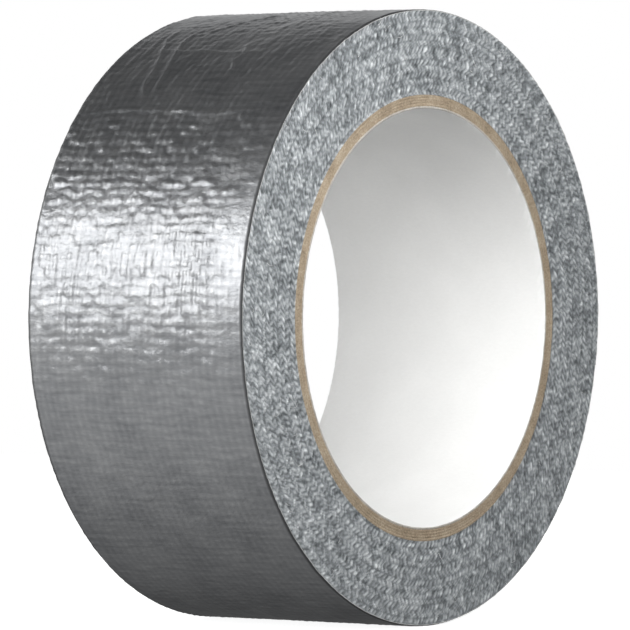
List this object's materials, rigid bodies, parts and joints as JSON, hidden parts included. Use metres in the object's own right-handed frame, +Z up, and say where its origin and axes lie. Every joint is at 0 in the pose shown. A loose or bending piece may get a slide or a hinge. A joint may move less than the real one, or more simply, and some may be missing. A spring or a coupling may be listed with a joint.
{
  "type": "duct tape roll",
  "caption": "Roll of silver cloth-backed duct tape on a spiral-wound paper core, standing on its rim, with a loose tail that peels off.",
  "frame": {"origin": "middle of the bore: on its axis, halfway across the width", "axes": "+Y along the bore, away from the end face that the roll's front view shows; +Z up with the roll standing on its rim; +X towards the side with the loose tail"},
  "size_m": [0.1122, 0.048, 0.1119],
  "materials": {
    "core_liner": "smooth uncoated paper",
    "core_kraft": "cut kraft board",
    "wound_tape": "slit tape edges, film and cloth and adhesive together",
    "tape_film": "satin polyethylene film pressed onto cloth",
    "tape_scrim": "open plain-weave cloth",
    "tape_adhesive": "tacky rubber adhesive"
  },
  "bodies": {
    "roll": {"core_liner_ply": "core_liner", "core_kraft_ply_1": "core_kraft", "core_kraft_ply_2": "core_kraft", "core_kraft_ply_3": "core_kraft", "core_kraft_ply_4": "core_kraft", "wound_turns": "wound_tape", "outer_turn_adhesive": "tape_adhesive", "outer_turn_scrim": "tape_scrim", "outer_turn_film": "tape_film"},
    "tail": {"tail_adhesive": "tape_adhesive", "tail_scrim": "tape_scrim", "tail_film": "tape_film"}
  },
  "joints": [
    {"name": "tail_peel", "type": "hinge", "parent": "roll", "child": "tail", "pos_m": [0.05281, 0, 0.0192], "axis": [0, -1, 0], "range_deg": [0, 90]}
  ]
}
